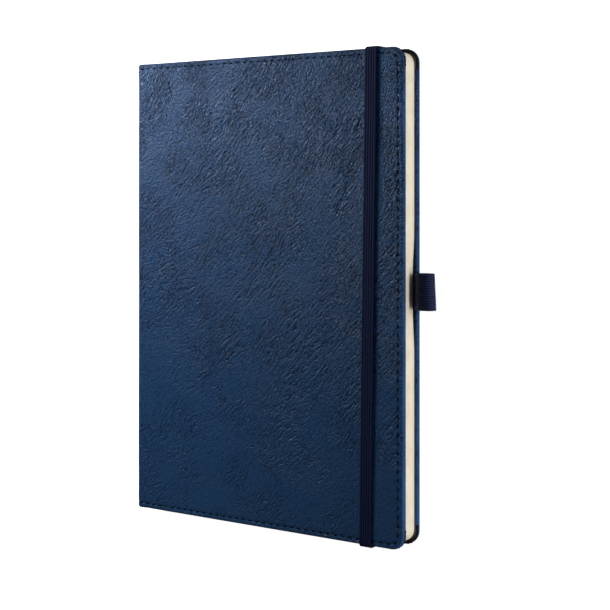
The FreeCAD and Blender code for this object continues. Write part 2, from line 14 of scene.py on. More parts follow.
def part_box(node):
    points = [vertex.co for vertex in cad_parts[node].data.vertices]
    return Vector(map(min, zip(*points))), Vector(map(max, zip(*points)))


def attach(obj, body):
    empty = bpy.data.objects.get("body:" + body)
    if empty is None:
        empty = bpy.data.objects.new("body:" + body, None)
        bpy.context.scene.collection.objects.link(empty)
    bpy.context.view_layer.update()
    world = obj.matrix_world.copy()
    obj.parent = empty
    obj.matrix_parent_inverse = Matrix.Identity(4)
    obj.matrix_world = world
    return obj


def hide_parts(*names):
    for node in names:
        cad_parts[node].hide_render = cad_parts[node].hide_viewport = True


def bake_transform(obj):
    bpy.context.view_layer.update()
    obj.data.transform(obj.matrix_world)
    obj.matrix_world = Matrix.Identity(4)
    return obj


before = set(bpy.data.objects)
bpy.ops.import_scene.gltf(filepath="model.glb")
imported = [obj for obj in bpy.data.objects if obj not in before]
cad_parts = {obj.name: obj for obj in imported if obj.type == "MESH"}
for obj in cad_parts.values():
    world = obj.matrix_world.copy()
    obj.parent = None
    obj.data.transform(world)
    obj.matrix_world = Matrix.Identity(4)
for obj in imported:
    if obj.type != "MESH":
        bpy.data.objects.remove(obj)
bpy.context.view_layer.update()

MM = 0.001

# ---- sizes read from the solids ---------------------------------------------------------------------------------

skin_low, skin_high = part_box("front_cover_skin")
FORE_EDGE, HEAD, FRONT_FACE = skin_high
BOARD_START = skin_low.x
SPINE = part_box("front_joint_strip")[0].x
SPINE_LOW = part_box("spine_skin")[0].z
SPINE_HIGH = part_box("spine_skin")[1].z
LIP_DEPTH = FRONT_FACE - skin_low.z
JOINT_RADIUS = FRONT_FACE - SPINE_HIGH
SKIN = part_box("front_board")[0].y + HEAD
BOARD_FACE_DEPTH = FRONT_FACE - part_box("front_board")[0].z
PASTEDOWN_EDGE = FORE_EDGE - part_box("front_pastedown")[1].x
PASTEDOWN_DEPTH = FRONT_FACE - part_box("front_pastedown")[0].z
BAND_LOW, BAND_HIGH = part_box("closure_band")
TAB_LOW, TAB_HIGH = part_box("closure_band_tabs")
LOOP_LOW, LOOP_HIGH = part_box("pen_loop")
LOOP_TAB_LOW, LOOP_TAB_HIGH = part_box("pen_loop_tab")
BLOCK_LOW, BLOCK_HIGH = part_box("back_flyleaf")[0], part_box("front_flyleaf")[1]

# ---- sizes that only the looks need -----------------------------------------------------------------------------

CORNER_RADIUS = 6.0 * MM
EDGE_ROUNDING = 1.0 * MM
LIP_ROUNDING = 0.55 * MM
SEAM_INSET = 2.4 * MM
SEAM_PITCH = 3.8 * MM
TURN_IN = 14.0 * MM
LEAVES_IN_SECTION = 8
PAGE_CORNER_RADIUS = 5.5 * MM
BAND_LEAN = 3.0 * MM
GRAIN_DIRECTION = math.radians(52)
GRAIN_DEPTH = 0.56 * MM
FLOOR_GLOW = 0.9
FLOOR_REACH = 40.0
FLOOR_LEVEL = -0.3 * MM      # clear of the stitches under the back cover
SHARP_ANGLE = math.radians(40)
PAPER_SHARE = 0.82           # the part of a leaf's pitch that is paper


# ---- small tools ------------------------------------------------------------------------------------------------


def smoothstep(low, high, value):
    share = np.clip((value - low) / (high - low), 0, 1)
    return share * share * (3 - 2 * share)


def new_mesh(name, points, faces, material):
    """An object at the origin made of points and faces, shaded smooth up to an angle."""
    mesh = bpy.data.meshes.new(name)
    mesh.from_pydata([tuple(map(float, p)) for p in points], [], faces)
    mesh.materials.append(material)
    mesh.update()
    made = bpy.data.objects.new(name, mesh)
    bpy.context.scene.collection.objects.link(made)
    mesh.shade_smooth()
    mesh.set_sharp_from_angle(angle=SHARP_ANGLE)
    return made


def grid_faces(rows, columns, first=0, flip=False):
    """The quads of a grid of points that is numbered row by row."""
    here = first + (np.arange(rows - 1)[:, None] * columns + np.arange(columns - 1)[None, :]).ravel()
    quads = np.stack([here, here + 1, here + columns + 1, here + columns], axis=1)
    return quads[:, ::-1] if flip else quads


def shell_faces(rows, columns, first=0):
    """The quads of a closed shell: one grid, a second one numbered on from it, and the walls between their rims."""
    count = rows * columns
    number = np.arange(count).reshape(rows, columns)
    rim = np.concatenate([number[0, :-1], number[:-1, -1], number[-1, :0:-1], number[:0:-1, 0]]) + first
    following = np.roll(rim, -1)
    walls = np.stack([following, rim, rim + count, following + count], axis=1)
    return np.concatenate([
        grid_faces(rows, columns, first),
        grid_faces(rows, columns, first + count, flip=True),
        walls,
    ])


def closed_panel(name, outer, inner, material, flip=False):
    """A closed solid between two grids of points that have the same numbering."""
    quads = shell_faces(*outer.shape[:2])
    if flip:
        quads = quads[:, ::-1]
    points = np.concatenate([outer.reshape(-1, 3), inner.reshape(-1, 3)])
    return new_mesh(name, points, quads.tolist(), material)


def sweep(name, sections, material, flip=False):
    """A tube, closed at both ends, through cross-sections that all have the same number of points."""
    stations, around = sections.shape[:2]
    faces = []
    for here in range(0, (stations - 1) * around, around):
        there = here + around
        for j in range(around):
            k = (j + 1) % around
            faces.append([here + j, here + k, there + k, there + j])
    faces.append(list(range(around))[::-1])
    faces.append([(stations - 1) * around + j for j in range(around)])
    if flip:
        faces = [face[::-1] for face in faces]
    return new_mesh(name, sections.reshape(-1, 3), faces, material)


def edge_steps(*millimetres):
    return np.array(millimetres) * MM


def spread(start, end, step):
    """Evenly spaced places from start to end, about a step apart."""
    return np.linspace(start, end, max(2, int(round(abs(end - start) / step)) + 1))


# ---- materials --------------------------------------------------------------------------------------------------


def linear(hex_colour):
    """An sRGB hex colour as linear red, green, blue and alpha."""
    parts = [int(hex_colour[i:i + 2], 16) / 255 for i in (1, 3, 5)]
    return (*[c / 12.92 if c <= 0.04045 else ((c + 0.055) / 1.055) ** 2.4 for c in parts], 1.0)


def add_node(tree, kind, inputs=None, stops=(), **settings):
    """Adds a node with its settings and, on a colour ramp, its (place, sRGB hex colour) stops.

    An input that is given another node's output is linked to it.
    """
    made = tree.nodes.new(kind)
    for name, value in settings.items():
        setattr(made, name, value)
    for number, (place, colour) in enumerate(stops):
        elements = made.color_ramp.elements
        element = elements[number] if number < 2 else elements.new(place)
        element.position, element.color = place, linear(colour)
    for name, value in (inputs or {}).items():
        if isinstance(value, bpy.types.NodeSocket):
            tree.links.new(value, made.inputs[name])
        else:
            made.inputs[name].default_value = value
    return made


def result(tree, kind, *inputs, **settings):
    """Adds a shader node, named by its kind and operation, with inputs in its own order. Gives its first output."""
    kind, *operation = kind.split()
    if operation:
        settings["operation"] = operation[0]
    return add_node(tree, "ShaderNode" + kind, dict(enumerate(inputs)), **settings).outputs[0]


def new_material(name, **constants):
    """A material, its node tree and its shader, with constant values set on the shader's own sockets."""
    material = bpy.data.materials.new(name)
    material.use_nodes = True
    tree = material.node_tree
    shader = tree.nodes["Principled BSDF"]
    for socket, value in constants.items():
        shader.inputs[socket.replace("_", " ")].default_value = value
    return material, tree, shader


def finish_surface(tree, shader, colour, height, depth, strength=1.0):
    """Gives a surface its colour, and a relief whose height of one is a depth in metres."""
    relief = add_node(tree, "ShaderNodeBump", {"Height": height, "Distance": depth, "Strength": strength})
    tree.links.new(colour, shader.inputs["Base Color"])
    tree.links.new(relief.outputs["Normal"], shader.inputs["Normal"])


# Marks in the skin per millimetre, along the grain's flow and across it.
PEBBLES_PER_MM = (0.78, 1.1)
ROLLS_PER_MM = (0.15, 0.42)
CREASES_PER_MM = (0.11, 0.42)


def grained_leatherette(name, dark, middle, light, roughness):
    """Embossed polyurethane leatherette: a satin skin of small pebbles, drawn out and creased along one diagonal.

    The pebbles are about 0.9 mm across and 1.3 mm along the flow. The rolls and the creases are some 2.4 mm apart and
    7 to 9 mm long. They come and go in patches about 20 mm wide, and all is pressed less deep towards the tail.
    """
    material, tree, shader = new_material(name, IOR=1.5)
    place = add_node(tree, "ShaderNodeTexCoord").outputs["Object"]
    in_mm = add_node(tree, "ShaderNodeVectorMath", {0: place, "Scale": 1 / MM}, operation="SCALE").outputs[0]
    wander = add_node(
        tree, "ShaderNodeTexNoise", {"Vector": in_mm, "Scale": 0.03, "Detail": 2.0, "Roughness": 0.5}
    )
    centred = result(tree, "VectorMath SUBTRACT", wander.outputs["Color"], (0.5, 0.5, 0.5))
    shift = add_node(tree, "ShaderNodeVectorMath", {0: centred, "Scale": 11.0}, operation="SCALE").outputs[0]
    turned = add_node(
        tree, "ShaderNodeVectorRotate",
        {"Vector": result(tree, "VectorMath ADD", in_mm, shift), "Axis": (0, 0, 1), "Angle": -GRAIN_DIRECTION},
        rotation_type="AXIS_ANGLE",
    ).outputs[0]

    def along_flow(stretch, across):
        return result(tree, "VectorMath MULTIPLY", turned, (stretch, across, across))

    def between(value, low, high, start=0.0, end=1.0, kind="SMOOTHSTEP"):
        limits = {"Value": value, "From Min": low, "From Max": high, "To Min": start, "To Max": end}
        return add_node(tree, "ShaderNodeMapRange", limits, interpolation_type=kind).outputs[0]

    cells = along_flow(*PEBBLES_PER_MM)
    middles = add_node(tree, "ShaderNodeTexVoronoi", {"Vector": cells, "Scale": 1.0}).outputs["Distance"]
    borders = add_node(
        tree, "ShaderNodeTexVoronoi", {"Vector": cells, "Scale": 1.0}, feature="DISTANCE_TO_EDGE"
    ).outputs["Distance"]
    swell, lines = [
        add_node(
            tree, "ShaderNodeTexNoise",
            {"Vector": along_flow(*per_mm), "Scale": 1.0, "Detail": detail, "Roughness": 0.5},
        ).outputs["Fac"]
        for per_mm, detail in ((ROLLS_PER_MM, 1.5), (CREASES_PER_MM, 2.0))
    ]
    patches = add_node(tree, "ShaderNodeTexNoise", {"Vector": in_mm, "Scale": 0.05, "Detail": 1.5}).outputs["Fac"]
    strong = between(patches, 0.4, 0.6, 0.3, 1.0)
    faded = between(patches, 0.35, 0.62, 0.75, 1.0)
    pressed = between(add_node(tree, "ShaderNodeSeparateXYZ", {0: in_mm}).outputs["Y"], -90.0, 10.0, 0.55, 1.0)

    # Every mark is 0 on the skin's highest places and goes down to about -1.
    bulge = result(tree, "Math MULTIPLY", result(tree, "Math MULTIPLY", middles, middles), -0.75)
    furrow = result(tree, "Math MULTIPLY", result(tree, "Math SUBTRACT", between(borders, 0.0, 0.2), 1.0), 0.35)
    pebbled = result(tree, "Math MULTIPLY", result(tree, "Math ADD", bulge, furrow), faded)
    off_line = result(tree, "Math ABSOLUTE", result(tree, "Math SUBTRACT", lines, 0.52))
    cut = result(tree, "Math MULTIPLY", result(tree, "Math SUBTRACT", between(off_line, 0.0, 0.05), 1.0), strong)
    off_valley = result(tree, "Math ABSOLUTE", result(tree, "Math SUBTRACT", swell, 0.5))
    rise = result(tree, "Math POWER", between(off_valley, 0.0, 0.13, kind="LINEAR"), 0.7)
    rolls = result(tree, "Math MULTIPLY", result(tree, "Math SUBTRACT", rise, 1.0), strong)

    relief = result(tree, "Math MULTIPLY_ADD", rolls, 0.5, result(tree, "Math MULTIPLY", pebbled, 0.5))
    height = result(tree, "Math MULTIPLY", result(tree, "Math MULTIPLY_ADD", cut, 0.7, relief), pressed)
    # Painted shade: the colour is darkened in the creases, furrows and pebble hollows, standing in for the shading of
    # the relief, and this darkening fades towards the tail with the pressing.
    painted_hollow_shade = result(tree, "Math MULTIPLY_ADD", cut, 0.26, result(tree, "Math MULTIPLY", pebbled, 0.8))
    tone = result(tree, "Math MULTIPLY", painted_hollow_shade, pressed)
    lightness = result(tree, "Math ADD", tone, 1.0)
    colour = result(tree, "ValToRGB", lightness, stops=[(0.25, dark), (0.72, middle), (0.98, light)])
    gloss = between(tone, -0.6, 0.0, roughness + 0.12, roughness - 0.03, "LINEAR")
    tree.links.new(gloss, shader.inputs["Roughness"])
    finish_surface(tree, shader, colour, height, GRAIN_DEPTH)
    return material


def gathered_leatherette():
    """The same skin heated and drawn round a corner: stretched smooth, near black and glossy."""
    material, tree, shader = new_material("gathered_black_leatherette", IOR=1.5, Roughness=0.24, Coat_Weight=0.4)
    place = add_node(tree, "ShaderNodeTexCoord").outputs["Object"]
    streaks = add_node(tree, "ShaderNodeTexNoise", {"Vector": place, "Scale": 900.0, "Detail": 3.0}).outputs["Fac"]
    colour = result(tree, "ValToRGB", streaks, stops=[(0.3, "#0b0d11"), (0.75, "#191d24")])
    finish_surface(tree, shader, colour, streaks, 0.06 * MM, 0.5)
    return material


def braided_elastic(name, painted_groove_shade, dark, light, threads_per_mm, direction):
    """Woven elastic: matt nylon over rubber cores, seen as fine dashes across ribs. The grooves between the ribs are
    painted dark, as shade.
    """
    material, tree, shader = new_material(
        name, IOR=1.45, Roughness=0.78, Sheen_Weight=0.2, Sheen_Roughness=0.45, Sheen_Tint=linear(light)
    )
    place = add_node(tree, "ShaderNodeTexCoord").outputs["Object"]
    dashes = add_node(
        tree, "ShaderNodeTexWave",
        {"Vector": place, "Scale": threads_per_mm / MM / math.pi, "Distortion": 1.5, "Detail": 1.0},
        bands_direction=direction, wave_type="BANDS",
    ).outputs["Fac"]
    fuzz = add_node(tree, "ShaderNodeTexNoise", {"Vector": place, "Scale": 2600.0, "Detail": 2.0}).outputs["Fac"]
    weave = result(tree, "Math MULTIPLY_ADD", fuzz, 0.5, result(tree, "Math MULTIPLY", dashes, 0.5))
    threads = result(tree, "ValToRGB", weave, stops=[(0.25, dark), (0.85, light)])
    # Painted shade: points away from a ridge take the near-black groove colour, standing in for the shading between
    # the ribs.
    ridge = add_node(tree, "ShaderNodeAttribute", attribute_name="ridge").outputs["Fac"]
    mix = add_node(tree, "ShaderNodeMix", {"Factor": ridge, 6: linear(painted_groove_shade), 7: threads}, data_type="RGBA")
    finish_surface(tree, shader, mix.outputs[2], weave, 0.06 * MM, 0.6)
    return material


def polyester_thread():
    """Twisted bonded thread: a soft gloss along its plies, a little lighter than the skin."""
    material, tree, shader = new_material("bonded_polyester_thread", IOR=1.5, Roughness=0.42, Sheen_Weight=0.2)
    place = add_node(tree, "ShaderNodeTexCoord").outputs["Object"]
    plies = add_node(
        tree, "ShaderNodeTexWave", {"Vector": place, "Scale": 700.0, "Distortion": 2.0}, bands_direction="DIAGONAL"
    ).outputs["Fac"]
    colour = result(tree, "ValToRGB", plies, stops=[(0.2, "#466390"), (0.9, "#8aa4c6")])
    finish_surface(tree, shader, colour, plies, 0.05 * MM, 0.7)
    return material


def needle_hole_painted_shade():
    """Painted shade: a near-black surface for the dark inside of a needle hole in the skin and the shadow round it.
    """
    material, tree, shader = new_material("needle_hole_shadow", IOR=1.3, Roughness=0.9)
    place = add_node(tree, "ShaderNodeTexCoord").outputs["Object"]
    speckle = add_node(tree, "ShaderNodeTexNoise", {"Vector": place, "Scale": 3000.0}).outputs["Fac"]
    colour = result(tree, "ValToRGB", speckle, stops=[(0.3, "#04070d"), (0.8, "#0a1120")])
    tree.links.new(colour, shader.inputs["Base Color"])
    return material


def wove_paper(name, dark, light, fibre_depth=0.02, ruled=False):
    """Uncoated wove paper: matt, warm, with a faint cloudy formation and fine fibres."""
    material, tree, shader = new_material(name, IOR=1.45, Roughness=0.88, Sheen_Weight=0.08)
    place = add_node(tree, "ShaderNodeTexCoord").outputs["Object"]
    cloud = add_node(tree, "ShaderNodeTexNoise", {"Vector": place, "Scale": 160.0, "Detail": 4.0}).outputs["Fac"]
    fibres = add_node(tree, "ShaderNodeTexNoise", {"Vector": place, "Scale": 3500.0, "Detail": 2.0}).outputs["Fac"]
    tone = result(tree, "Math MULTIPLY_ADD", fibres, 0.4, result(tree, "Math MULTIPLY", cloud, 0.6))
    colour = result(tree, "ValToRGB", tone, stops=[(0.3, dark), (0.7, light)])
    if ruled:
        colour = ruled_over(tree, place, colour)
    finish_surface(tree, shader, colour, fibres, fibre_depth * MM, 0.5)
    return material


def ruled_over(tree, place, paper):
    """Thin printed ruling over the paper: rows 6.5 mm apart and columns 23 mm apart, within the page's margins."""
    split = add_node(tree, "ShaderNodeSeparateXYZ", {"Vector": place})
    marks = []
    # A printed rule is 0.1 mm wide or less, which is too fine to show, so it is drawn about three times as wide.
    for axis, gap, width in (("Y", 6.5 * MM, 0.3 * MM), ("X", 23.0 * MM, 0.35 * MM)):
        line = result(tree, "Math PINGPONG", split.outputs[axis], gap / 2)
        marks.append(result(tree, "Math LESS_THAN", line, width / 2))
    inside = result(tree, "Math MAXIMUM", *marks)
    for axis, limit in (("Y", HEAD - 14 * MM), ("X", FORE_EDGE - 10 * MM)):
        within = result(tree, "Math LESS_THAN", result(tree, "Math ABSOLUTE", split.outputs[axis]), limit)
        inside = result(tree, "Math MULTIPLY", inside, within)
    normal = add_node(tree, "ShaderNodeNewGeometry").outputs["Normal"]
    facing = add_node(tree, "ShaderNodeSeparateXYZ", {"Vector": normal})
    upright = result(tree, "Math ABSOLUTE", facing.outputs["Z"])
    inside = result(tree, "Math MULTIPLY", inside, result(tree, "Math GREATER_THAN", upright, 0.1))
    ink = result(tree, "Math MULTIPLY", inside, 0.75)
    mix = add_node(tree, "ShaderNodeMix", {"Factor": ink, 6: paper, 7: linear("#8f9fb3")}, data_type="RGBA")
    return mix.outputs[2]


def greyboard():
    """Bookbinder's greyboard: pressed recycled pulp, matt and flecked."""
    material, tree, shader = new_material("pressed_greyboard", IOR=1.45, Roughness=0.92)
    place = add_node(tree, "ShaderNodeTexCoord").outputs["Object"]
    flecks = add_node(tree, "ShaderNodeTexNoise", {"Vector": place, "Scale": 1400.0, "Detail": 5.0}).outputs["Fac"]
    colour = result(tree, "ValToRGB", flecks, stops=[(0.3, "#7b7265"), (0.7, "#9b9080")])
    finish_surface(tree, shader, colour, flecks, 0.08 * MM, 0.6)
    return material


def woven_cotton(name, dark, light, pitch):
    """Plain-woven cotton tape or gauze, matt."""
    material, tree, shader = new_material(name, IOR=1.45, Roughness=0.9, Sheen_Weight=0.3)
    place = add_node(tree, "ShaderNodeTexCoord").outputs["Object"]
    waves = []
    for direction in "YZ":
        waves.append(add_node(
            tree, "ShaderNodeTexWave", {"Vector": place, "Scale": 1 / pitch / 2, "Distortion": 0.6},
            bands_direction=direction,
        ).outputs["Fac"])
    weave = result(tree, "Math MULTIPLY", *waves)
    colour = result(tree, "ValToRGB", weave, stops=[(0.0, dark), (0.6, light)])
    finish_surface(tree, shader, colour, weave, 0.1 * MM, 0.6)
    return material


LEATHER = grained_leatherette("embossed_navy_leatherette", "#0a1b35", "#1e4068", "#294f7b", 0.4)
GATHERED = gathered_leatherette()
# The first colour of each elastic is its painted groove shade.
BAND_ELASTIC = braided_elastic("woven_band_elastic", "#06081a", "#0d1536", "#202b58", 2.2, "Y")
LOOP_ELASTIC = braided_elastic("woven_loop_elastic", "#06081a", "#161e3e", "#343c66", 2.2, "X")
THREAD = polyester_thread()
# A near-black material of painted shade for the needle holes and the shadow round them.
HOLE_PAINTED_SHADE = needle_hole_painted_shade()
PAGES = wove_paper("cream_wove_page_paper", "#e9dfca", "#f7f0e3", ruled=True)
ENDPAPER = wove_paper("cream_wove_endpaper", "#bfb39c", "#cdc1aa", 0.03)
GREYBOARD = greyboard()
GAUZE = woven_cotton("spine_lining_gauze", "#b9b09c", "#e8e2d4", 0.5 * MM)
BAND_TAPE = woven_cotton("striped_end_band_cotton", "#16223a", "#cfc7b4", 0.7 * MM)
SEWING = woven_cotton("linen_sewing_thread", "#cfc8b6", "#f3efe4", 0.3 * MM)


# ---- the covers -------------------------------------------------------------------------------------------------


class Side:
    """One cover's side of the book. A depth is measured inwards from that cover's outer face."""

    def __init__(self, name, cover_body):
        self.name = name
        self.body = cover_body
        self.is_back = name == "back"
        self.blend = ("book_block", cover_body)

    def z(self, depth):
        return depth if self.is_back else FRONT_FACE - depth

    def points(self, x, y, depth):
        return np.stack(np.broadcast_arrays(x, y, self.z(depth)), axis=-1)

    def bend(self, piece):
        """Bakes the piece's placement into its mesh; the piece does not bend over the joint."""
        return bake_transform(piece)


FRONT = Side("front", "front_cover")
BACK = Side("back", "back_cover")


def round_corners(x, y, edge_x, edge_y, radius):
    """Pulls a square grid's points in onto round corners at the fore-edge. Returns x, y and the edge distance."""
    over_x = np.maximum(0, x - (edge_x - radius))
    over_y = np.maximum(0, np.abs(y) - (edge_y - radius))
    length = np.hypot(over_x, over_y)
    both = (over_x > 0) & (over_y > 0)
    pull = np.where(both, np.maximum(over_x, over_y) / np.where(both, length, 1), 1)
    distance = np.minimum(edge_x - x, edge_y - np.abs(y))
    new_x = np.where(both, edge_x - radius + over_x * pull, x)
    new_y = np.where(both, np.sign(y) * (edge_y - radius + over_y * pull), y)
    return new_x, new_y, distance


def rounded_edge(distance, radius):
    """How far a face drops where its edge is rounded."""
    inside = np.clip(radius - distance, 0, radius)
    return radius - np.sqrt(radius ** 2 - inside ** 2)


EDGE_STEPS = edge_steps(0, 0.015, 0.06, 0.13, 0.22, 0.34, 0.5, 0.7, 0.95, 1.3, 1.65, 1.95, 2.2, 2.4, 2.6,
                        2.85, 3.15, 3.6, 4.2, 5.0, 6.0)
STEPS_IN_JOINT_BEND = 10


def cover_rows():
    """Y places from the tail to the head, close together at both ends."""
    inner = HEAD - EDGE_STEPS[-1]
    middle = spread(-inner, inner, 1.6 * MM)[1:-1]
    return np.concatenate([EDGE_STEPS - HEAD, middle, (HEAD - EDGE_STEPS)[::-1]])


def cover_columns():
    """X places from the joint to the fore-edge, close together at the fore-edge."""
    flat = spread(SPINE + JOINT_RADIUS, BOARD_START, 0.5 * MM)[1:]
    middle = spread(BOARD_START, FORE_EDGE - EDGE_STEPS[-1], 1.6 * MM)[1:-1]
    return flat, np.concatenate([middle, (FORE_EDGE - EDGE_STEPS)[::-1]])


def skin_relief(x, y, distance):
    """The outer face's drop: rounded edges, the seam's valley, the joint's soft hollow and slow unevenness."""
    seam = 0.2 * MM * np.exp(-(((distance - SEAM_INSET) / (0.5 * MM)) ** 2))
    joint = 0.12 * MM * np.exp(-(((x - BOARD_START) / (1.3 * MM)) ** 2))
    waves = np.sin(x / (13 * MM) + 2 * np.sin(y / (41 * MM))) + np.sin(y / (17 * MM) - x / (29 * MM))
    uneven = 0.035 * MM * waves
    faded = smoothstep(0, 12 * MM, distance)
    return rounded_edge(distance, EDGE_ROUNDING) + seam + joint + (uneven + 0.07 * MM) * faded


def make_cover_skin(side):
    """The whole skin of one cover, from the spine's corner over the joint to the fore-edge and its turn-ins."""
    rows = cover_rows()[:, None]
    flat, board = cover_columns()
    angle = np.linspace(0, math.pi / 2, STEPS_IN_JOINT_BEND)[None, :]
    drop = skin_relief(SPINE, rows, HEAD - np.abs(rows))
    reach = JOINT_RADIUS - drop
    thin = SKIN - rounded_edge(HEAD - np.abs(rows), 0.2 * MM)
    bend_outer = side.points(
        SPINE + JOINT_RADIUS - reach * np.cos(angle), rows + 0 * angle, JOINT_RADIUS - reach * np.sin(angle)
    )
    inside = JOINT_RADIUS - thin
    bend_inner = side.points(
        SPINE + JOINT_RADIUS - inside * np.cos(angle), rows + 0 * angle, JOINT_RADIUS - inside * np.sin(angle)
    )
    y = rows + 0 * flat[None, :]
    flat_drop = skin_relief(flat[None, :], y, HEAD - np.abs(y))
    flat_outer = side.points(flat[None, :], y, flat_drop)
    flat_inner = side.points(flat[None, :], y, thin + 0 * y)
    x, y, distance = round_corners(*np.broadcast_arrays(board[None, :], rows), FORE_EDGE, HEAD, CORNER_RADIUS)
    board_outer = side.points(x, y, skin_relief(x, y, distance))
    under = LIP_DEPTH - rounded_edge(distance, LIP_ROUNDING)
    sunk = smoothstep(TURN_IN - 0.4 * MM, TURN_IN + 0.6 * MM, distance)
    board_inner = side.points(x, y, under - (LIP_DEPTH - BOARD_FACE_DEPTH) * sunk)
    step = np.array([BOARD_START + 0.01 * MM])
    step_y = rows + 0 * step[None, :]
    step_drop = skin_relief(step[None, :], step_y, HEAD - np.abs(step_y))
    step_outer = side.points(step[None, :], step_y, step_drop)
    step_inner = side.points(step[None, :], step_y, LIP_DEPTH - rounded_edge(HEAD - np.abs(step_y), LIP_ROUNDING))
    outer = np.concatenate([bend_outer, flat_outer, step_outer, board_outer], axis=1)
    inner = np.concatenate([bend_inner, flat_inner, step_inner, board_inner], axis=1)
    piece = closed_panel(f"{side.name}_cover_leatherette", outer, inner, LEATHER, flip=side.is_back)
    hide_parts(f"{side.name}_cover_skin", f"{side.name}_joint_strip")
    return side.bend(piece)


def make_spine_skin():
    """The skin over the spine board, from corner to corner, turned in at the head and the tail."""
    rows = cover_rows()[:, None]
    z = spread(SPINE_LOW, SPINE_HIGH, 0.8 * MM)[None, :]
    y = rows + 0 * z
    distance = HEAD - np.abs(y)
    drop = skin_relief(SPINE, y, distance)
    outer = np.stack(np.broadcast_arrays(SPINE + drop, y, z), axis=-1)
    inside = SPINE + SKIN * 3 - rounded_edge(distance, 0.4 * MM)
    window = smoothstep(1.2 * MM, 1.25 * MM, distance)
    inner = np.stack(np.broadcast_arrays(inside * (1 - window) + (SPINE + SKIN) * window, y, z), axis=-1)
    piece = closed_panel("spine_leatherette", outer, inner, LEATHER, flip=True)
    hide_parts("spine_skin")
    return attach(piece, "book_block")


# ---- the edge stitching -----------------------------------------------------------------------------------------


def stitch_tree():
    """Geometry nodes that lay slanted stitches along a curve, with a needle hole of painted shade between each two.
    """
    tree = bpy.data.node_groups.new("slanted_edge_stitches", "GeometryNodeTree")
    face = tree.interface
    face.new_socket("Geometry", in_out="INPUT", socket_type="NodeSocketGeometry")
    for name, value in (
        ("Pitch", SEAM_PITCH),
        ("Stitch Length", 2.6 * MM),
        ("Thread Radius", 0.32 * MM),
        ("Hole Width", 0.42 * MM),
        ("Hole Length", 1.3 * MM),
        ("Slant", math.radians(14)),
    ):
        face.new_socket(name, in_out="INPUT", socket_type="NodeSocketFloat").default_value = value
    face.new_socket("Geometry", in_out="OUTPUT", socket_type="NodeSocketGeometry")
    entry = add_node(tree, "NodeGroupInput").outputs
    along = add_node(
        tree, "GeometryNodeCurveToPoints", {"Curve": entry["Geometry"], "Length": entry["Pitch"]}, mode="LENGTH"
    )
    ball = add_node(tree, "GeometryNodeMeshUVSphere", {"Segments": 8, "Rings": 8, "Radius": 1.0}).outputs["Mesh"]

    def laid(scale, offset, material):
        instances = add_node(
            tree, "GeometryNodeInstanceOnPoints",
            {"Points": along.outputs["Points"], "Instance": ball, "Rotation": along.outputs["Rotation"],
             "Scale": scale},
        ).outputs[0]
        moved = add_node(
            tree, "GeometryNodeTranslateInstances",
            {"Instances": instances, "Translation": offset, "Local Space": True},
        ).outputs[0]
        turned = add_node(
            tree, "GeometryNodeRotateInstances", {"Instances": moved, "Rotation": slant, "Local Space": True}
        ).outputs[0]
        real = add_node(tree, "GeometryNodeRealizeInstances", {"Geometry": turned}).outputs[0]
        return add_node(tree, "GeometryNodeSetMaterial", {"Geometry": real, "Material": material}).outputs[0]

    half = result(tree, "Math DIVIDE", entry["Stitch Length"], 2.0)
    thread_scale = add_node(
        tree, "ShaderNodeCombineXYZ", {"X": entry["Thread Radius"], "Y": entry["Thread Radius"], "Z": half}
    ).outputs[0]
    hole_scale = add_node(
        tree, "ShaderNodeCombineXYZ",
        {"X": entry["Thread Radius"], "Y": entry["Hole Width"], "Z": entry["Hole Length"]},
    ).outputs[0]
    slant = add_node(tree, "ShaderNodeCombineXYZ", {"X": entry["Slant"]}).outputs[0]
    gap = add_node(tree, "ShaderNodeCombineXYZ", {"Z": result(tree, "Math DIVIDE", entry["Pitch"], 2.0)}).outputs[0]
    stitches = laid(thread_scale, (0, 0, 0), THREAD)
    # The holes are flat near-black ellipsoids at the seam: painted shade for the holes' insides and the shadow round
    # the thread's ends.
    hole_shades = laid(hole_scale, gap, HOLE_PAINTED_SHADE)
    joined = add_node(tree, "GeometryNodeJoinGeometry")
    for part in (stitches, hole_shades):
        tree.links.new(part, joined.inputs[0])
    smooth = add_node(tree, "GeometryNodeSetShadeSmooth", {"Geometry": joined.outputs[0]}).outputs[0]
    add_node(tree, "NodeGroupOutput", {"Geometry": smooth})
    return tree


STITCHES = stitch_tree()


def polyline(name, points):
    """A curve object through points, for a node tree to work along."""
    curve = bpy.data.curves.new(name, "CURVE")
    curve.dimensions = "3D"
    spline = curve.splines.new("POLY")
    spline.points.add(len(points) - 1)
    for target, point in zip(spline.points, points):
        target.co = (*point, 1)
    made = bpy.data.objects.new(name, curve)
    bpy.context.scene.collection.objects.link(made)
    return made


def made_by_nodes(name, points, tree):
    """Runs a node tree along points and returns the result as a plain mesh object."""
    guide = polyline(f"{name}_guide", points)
    modifier = guide.modifiers.new("nodes", "NODES")
    modifier.node_group = tree
    bpy.context.view_layer.update()
    evaluated = guide.evaluated_get(bpy.context.evaluated_depsgraph_get())
    mesh = bpy.data.meshes.new_from_object(evaluated)
    mesh.name = name
    made = bpy.data.objects.new(name, mesh)
    bpy.context.scene.collection.objects.link(made)
    bpy.data.objects.remove(guide)
    return made


def seam_floor(x, y, distance):
    """The depth of the thread's middle: half sunk in the seam's valley, so that the thread stays below the face."""
    return skin_relief(x, y, distance) + 0.13 * MM


